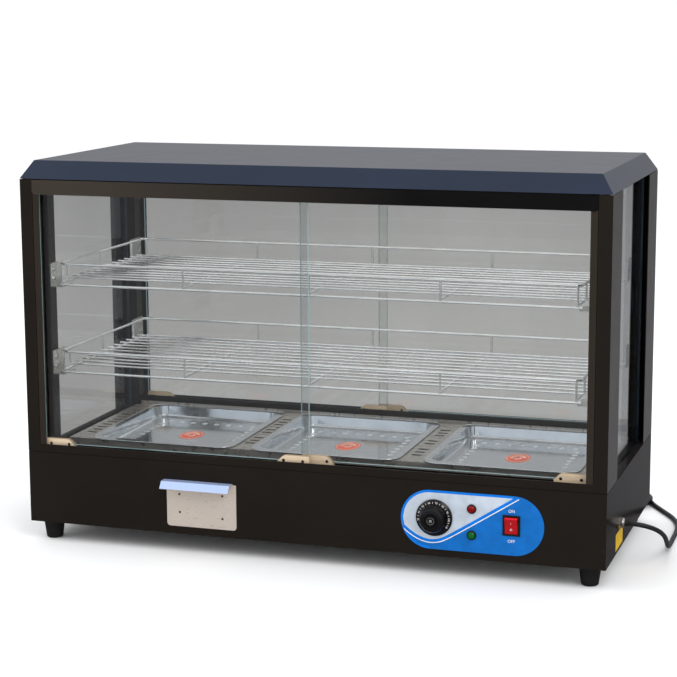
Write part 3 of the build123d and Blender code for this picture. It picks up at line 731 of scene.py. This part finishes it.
def make_stickers():
    """An oval paper seal in the middle of each pan, printed with a pale rim and a pale swirl."""
    seal = [(0, SEAL_THICKNESS), (17.6, SEAL_THICKNESS), (19, 0.1), (19, 0.0)]
    prints = (((16.2, 17.4), (0, 358)), ((8.0, 12.5), (15, 190)), ((2.5, 6.0), (-160, 60)))
    for name in PANS:
        x, y, z = pan_floor(name)
        parts = [lathe(name + "_seal", seal, (x, y, z), (0, 0, 1), name, STICKER, 64)]
        for n, (radii, turns) in enumerate(prints):
            parts.append(arc_plate(f"{name}_seal_print_{n}", (x, y, z + SEAL_THICKNESS), radii,
                                   turns, PRINT_DEPTH, name, STICKER_PALE))
        for part in parts:
            for vertex in part.data.vertices:
                vertex.co.y = y * MM + (vertex.co.y - y * MM) * SEAL_STRETCH


def make_pan_dimples():
    """Shallow embossed dimples along the back and both sides of each pan's floor."""
    spots = [(-73.5 + 21 * n, 84) for n in range(8)]
    spots += [(side * 80, 64 - 20 * n) for side in (-1, 1) for n in range(8)]
    rings = ((1.0, 0.0), (0.85, 0.2), (0.55, 0.36), (0.2, 0.45))
    half_width, half_depth = 4.8, 7.0
    segments = 16
    for name in PANS:
        x, y, z = pan_floor(name)
        points, faces = [], []
        for dx, dy in spots:
            base = len(points)
            for share, rise in rings:
                wide, deep = half_width * share, half_depth * share
                points += [(x + dx + wide * c, y + dy + deep * s, z + rise)
                           for c, s in circle(segments)]
            top = base + (len(rings) - 1) * segments
            for low in range(base, top, segments):
                faces += ring_faces(low, low + segments, segments)
            faces.append([top + i for i in range(segments)])
            faces.append([base + i for i in reversed(range(segments))])
        piece(name + "_dimples", points, faces, name, DIMPLE, smooth=True)


def make_side_label():
    """A blank yellow label under the gland."""
    face, thickness = 450.0, 0.12
    points = []
    for x in (face, face + thickness):
        points += [(x, -109, 35), (x, -50, 35), (x, -50, 60), (x, -109, 60)]
    faces = [(4, 5, 6, 7), (3, 2, 1, 0), (0, 1, 5, 4), (1, 2, 6, 5), (2, 3, 7, 6), (3, 0, 4, 7)]
    piece("side_label", points, faces, "cabinet", YELLOW)


def make_weld_marks():
    """Spot welds that hold the drawer's lip and tank to its face."""
    drawer_face = -190.2
    mark = [(1.9, 0.0), (1.5, 0.16), (0.8, 0.08), (0, 0.05)]
    for n, (x, z) in enumerate(((-199, 92), (-129.5, 94), (-198.5, 64), (-129.7, 58.6))):
        lathe(f"weld_mark_{n}", mark, (x, drawer_face, z), FORWARD, "water_drawer",
              WELD, 20)


def screw_boxes():
    """The low and high corners of every CAD screw."""
    mesh = nodes["screws"].data
    seen = [Vector(v.co) / MM for v in mesh.vertices]
    left = set(range(len(seen)))
    links = {}
    for edge in mesh.edges:
        a, b = edge.vertices
        links.setdefault(a, []).append(b)
        links.setdefault(b, []).append(a)
    groups = {}
    while left:
        stack = [left.pop()]
        group = list(stack)
        while stack:
            for other in links.get(stack.pop(), []):
                if other in left:
                    left.discard(other)
                    stack.append(other)
                    group.append(other)
        low = Vector([min(seen[i][k] for i in group) for k in range(3)])
        high = Vector([max(seen[i][k] for i in group) for k in range(3)])
        key = tuple(round(c / 2) for c in (low + high) / 2)      # one screw may be split in several
        old = groups.get(key)
        if old:
            low = Vector(map(min, low, old[0]))
            high = Vector(map(max, high, old[1]))
        groups[key] = (low, high)
    return groups.values()


def screw_spots():
    """Every screw as (centre of its seat, direction it points, head radius, head height)."""
    spots = []
    for low, high in screw_boxes():
        size = high - low
        k = min(range(3), key=lambda i: size[i])
        centre = (low + high) / 2
        axis = Vector((0, 0, 0))
        if k == 0:
            axis.x = -1 if centre.x > 0 else 1
        else:
            axis[k] = -1 if centre.y < 0 else 1
        seat = centre - axis * size[k] / 2
        spots.append((seat, axis, max(size) / 2, size[k]))
    return spots


def screw_heads(name, spots, material):
    """Domed heads in one piece, and their cross recesses in another, drawn as black plates of
    painted shade.
    """
    points, faces = [], []
    cross_points, cross_faces = [], []
    rows = ((1.0, 0.0), (1.0, 0.35), (0.86, 0.75), (0.55, 0.97))
    slot_length, slot_width = 0.5, 0.09         # half of each, as a share of the head's radius
    segments = 24
    for seat, axis, radius, height in spots:
        side = axis.orthogonal().normalized()
        other = axis.cross(side)
        base = len(points)
        for share, rise in rows:
            level = seat + axis * height * rise
            points += [level + (side * c + other * s) * radius * share for c, s in circle(segments)]
        points.append(seat + axis * height)
        top = base + (len(rows) - 1) * segments
        for low in range(base, top, segments):
            faces += ring_faces(low, low + segments, segments)
        for i in range(segments):
            faces.append((top + i, top + (i + 1) % segments, top + segments))
        faces.append(tuple(base + i for i in reversed(range(segments))))
        for along, across in ((side, other), (other, side)):
            start = len(cross_points)
            for a, b in ((-1, -1), (1, -1), (1, 1), (-1, 1)):
                for lift in (0.8, 0.995):
                    spot = seat + axis * height * lift + along * a * radius * slot_length
                    cross_points.append(spot + across * b * radius * slot_width)
            q = [start + n for n in (0, 2, 4, 6)]
            cross_faces.append(tuple(n + 1 for n in q))
            cross_faces.append(tuple(reversed(q)))
            for m in range(4):
                a, b = q[m], q[(m + 1) % 4]
                cross_faces.append((a, b, b + 1, a + 1))
    heads = piece(name + "_heads", points, faces, "cabinet", material, smooth=True)
    heads.data.set_sharp_from_angle(angle=radians(40))
    # The recesses are black plates: painted shade inside the cross.
    piece(name + "_painted_recess_shade", cross_points, cross_faces, "cabinet", BLACK)
    return heads


def make_screws():
    """Crosshead screws in place of the plain CAD heads; the two low ones in front are black."""
    dark, bright = [], []
    front_edge = 440
    for spot in screw_spots():
        seat, axis = spot[:2]
        (dark if axis.y < 0 and seat.x > front_edge else bright).append(spot)
    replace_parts(screw_heads("screw", bright, SCREW), "screws")
    screw_heads("black_screw", dark, BLACK)


CARRIER_SHEET = 0.9
NOTCH_Z, NOTCH_REACHES = 154.6, (10, 40)    # notch centres, and how far in from a carrier's end
LINER_RADIUS, LINER_DEPTH = 2.38, 0.3


def make_carrier_liners():
    """Black rubber liners that show through the notches of each door's carriers."""
    segments = 20
    for door in DOORS:
        low, high = [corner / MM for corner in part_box(door + "_carriers")]
        notches = [low.x + reach for reach in NOTCH_REACHES]
        notches += [high.x - reach for reach in NOTCH_REACHES]
        points, faces = [], []
        for notch_x in notches:
            for y, out in ((low.y + CARRIER_SHEET, -1), (high.y - CARRIER_SHEET, 1)):
                base = len(points)
                for depth in (0.0, LINER_DEPTH):
                    disc_y = y + out * depth
                    points += [(notch_x + LINER_RADIUS * c, disc_y, NOTCH_Z + LINER_RADIUS * s)
                               for c, s in circle(segments)]
                made = [tuple(range(base + segments, base + 2 * segments))]
                made += ring_faces(base, base + segments, segments)
                faces += made if out < 0 else [face[::-1] for face in made]
        piece(door + "_liners", points, faces, door + "_door", RUBBER)


def make_gland_seal():
    """A rubber seal between the gland's nut and the lead."""
    profile = [(5.9, 0.0), (5.6, 1.4), (4.4, 2.6), (3.6, 5.5), (3.52, 9.0)]
    nut_end = (459.1, GLAND_Y, GLAND_Z)
    lathe("gland_seal", profile, nut_end, (1, 0, 0), "cabinet", RUBBER)


def make_plug_blades():
    """Bright sleeves over the two blades of the plug."""
    end = Vector(PLUG_END)
    back = Vector((PLUG_END[0] - PLUG_START[0], PLUG_END[1] - PLUG_START[1], 0)).normalized()
    side = Vector((-back.y, back.x, 0))
    up = Vector((0, 0, 1))
    points, faces = [], []
    half_thickness, half_height = 0.9, 3.25
    for offset in (-7, 7):
        start = len(points)
        for distance in (31.6, 48.6):
            for a, b in ((-1, -1), (1, -1), (1, 1), (-1, 1)):
                spot = end + back * distance + side * (offset + a * half_thickness)
                points.append(spot + up * b * half_height)
        faces += ring_faces(start, start + 4, 4)
        faces.append((start + 4, start + 5, start + 6, start + 7))
        faces.append((start + 3, start + 2, start + 1, start))
    piece("plug_blades", points, faces, "cabinet", NICKEL)


# ---------------------------------------------------------------- room
def how_seen(tree):
    """Two switches: 1 in a reflection, and 1 where the room is looked at through glass."""
    path = tree.nodes.new("ShaderNodeLightPath")
    passed = tree.nodes.new("ShaderNodeMath")
    passed.operation = "GREATER_THAN"
    passed.inputs[1].default_value = 0.5
    both = tree.nodes.new("ShaderNodeMath")
    both.operation = "MULTIPLY"
    tree.links.new(path.outputs["Transparent Depth"], passed.inputs[0])
    tree.links.new(path.outputs["Is Camera Ray"], both.inputs[0])
    tree.links.new(passed.outputs[0], both.inputs[1])
    return path.outputs["Is Glossy Ray"], both.outputs[0]


def sky_ramp(tree, value, low, high):
    """0 where a value is low, 1 where it is high."""
    made = tree.nodes.new("ShaderNodeMapRange")
    made.inputs["From Min"].default_value = low
    made.inputs["From Max"].default_value = high
    tree.links.new(value, made.inputs["Value"])
    return made.outputs["Result"]


def make_floor():
    """A plain white floor, dimmer in reflections and grey behind glass."""
    mesh = bpy.data.meshes.new("floor")
    reach = 600.0
    corners = [(-reach, -reach, 0), (reach, -reach, 0), (reach, reach, 0), (-reach, reach, 0)]
    mesh.from_pydata(corners, [], [(0, 1, 2, 3)])
    floor_white = (0.93, 0.93, 0.93)
    look = Look("floor_white", floor_white, 0.7, specular=0.1)
    clouds = look.spread(look.noise(0.8), 0, 1)
    white = look.mix(clouds, floor_white, (0.95, 0.95, 0.95))
    mirrored, behind_glass = how_seen(look.tree)
    seen = look.mix(mirrored, white, (0.23, 0.23, 0.24))
    look.paint(look.mix(behind_glass, seen, (0.35, 0.342, 0.333)))
    mesh.materials.append(look.material)
    floor = bpy.data.objects.new("floor", mesh)
    floor.location.z = -0.0005
    scene.collection.objects.link(floor)


def make_sky():
    """A sky that is white to look at, dimmer in reflections and grey behind glass."""
    world = bpy.data.worlds.new("sky")
    world.use_nodes = True
    tree = world.node_tree
    background = tree.nodes["Background"]
    background.inputs["Strength"].default_value = 1.12
    parts = tree.nodes.new("ShaderNodeSeparateXYZ")
    tree.links.new(tree.nodes.new("ShaderNodeTexCoord").outputs["Generated"], parts.inputs[0])
    rise = sky_ramp(tree, parts.outputs["Z"], 0.05, 0.85)
    front = sky_ramp(tree, parts.outputs["Y"], -0.1, -0.7)
    mirrored, behind_glass = how_seen(tree)
    low = mix_colors(tree, front, (0.295, 0.29, 0.295), (0.80, 0.88, 1.0))
    color = mix_colors(tree, rise, low, (0.94, 0.97, 1.0))
    color = mix_colors(tree, mirrored, (0.975, 0.985, 1.0), color)
    color = mix_colors(tree, behind_glass, color, (0.29, 0.295, 0.29))
    tree.links.new(color, background.inputs["Color"])
    scene.world = world


def make_lamps():
    """Three large soft lamps around the cabinet and a small one under its ceiling."""
    lamps = (
        ("key", (2.6, -2.6, 3.2), (0, 0, 0.3), 2.2, 2.2, 70),
        ("fill", (-3.2, -1.0, 2.4), (0, 0, 0.3), 2.4, 2.4, 30),
        ("back", (-0.6, 3.4, 3.4), (0, 0, 0.3), 2.6, 2.6, 25),
        ("cabin", (0, 0, 0.55), (0, 0, 0), 0.8, 0.26, 0.75),
    )
    for name, spot, target, length, depth, energy in lamps:
        data = bpy.data.lights.new(name, "AREA")
        data.shape = "RECTANGLE"
        data.size = length
        data.size_y = depth
        data.energy = energy
        lamp = bpy.data.objects.new(name, data)
        lamp.location = spot
        aim = Vector(target) - Vector(spot)
        lamp.rotation_euler = aim.to_track_quat("-Z", "Y").to_euler()
        scene.collection.objects.link(lamp)


make_camera()
make_cord()
dress_nodes()
make_label_print()
make_knob_details()
make_lamp_bezels()
make_rocker_marks()
make_stickers()
make_pan_dimples()
make_side_label()
make_weld_marks()
make_screws()
make_carrier_liners()
make_gland_seal()
make_plug_blades()
make_floor()
make_sky()
make_lamps()
scene.view_settings.view_transform = "Standard"
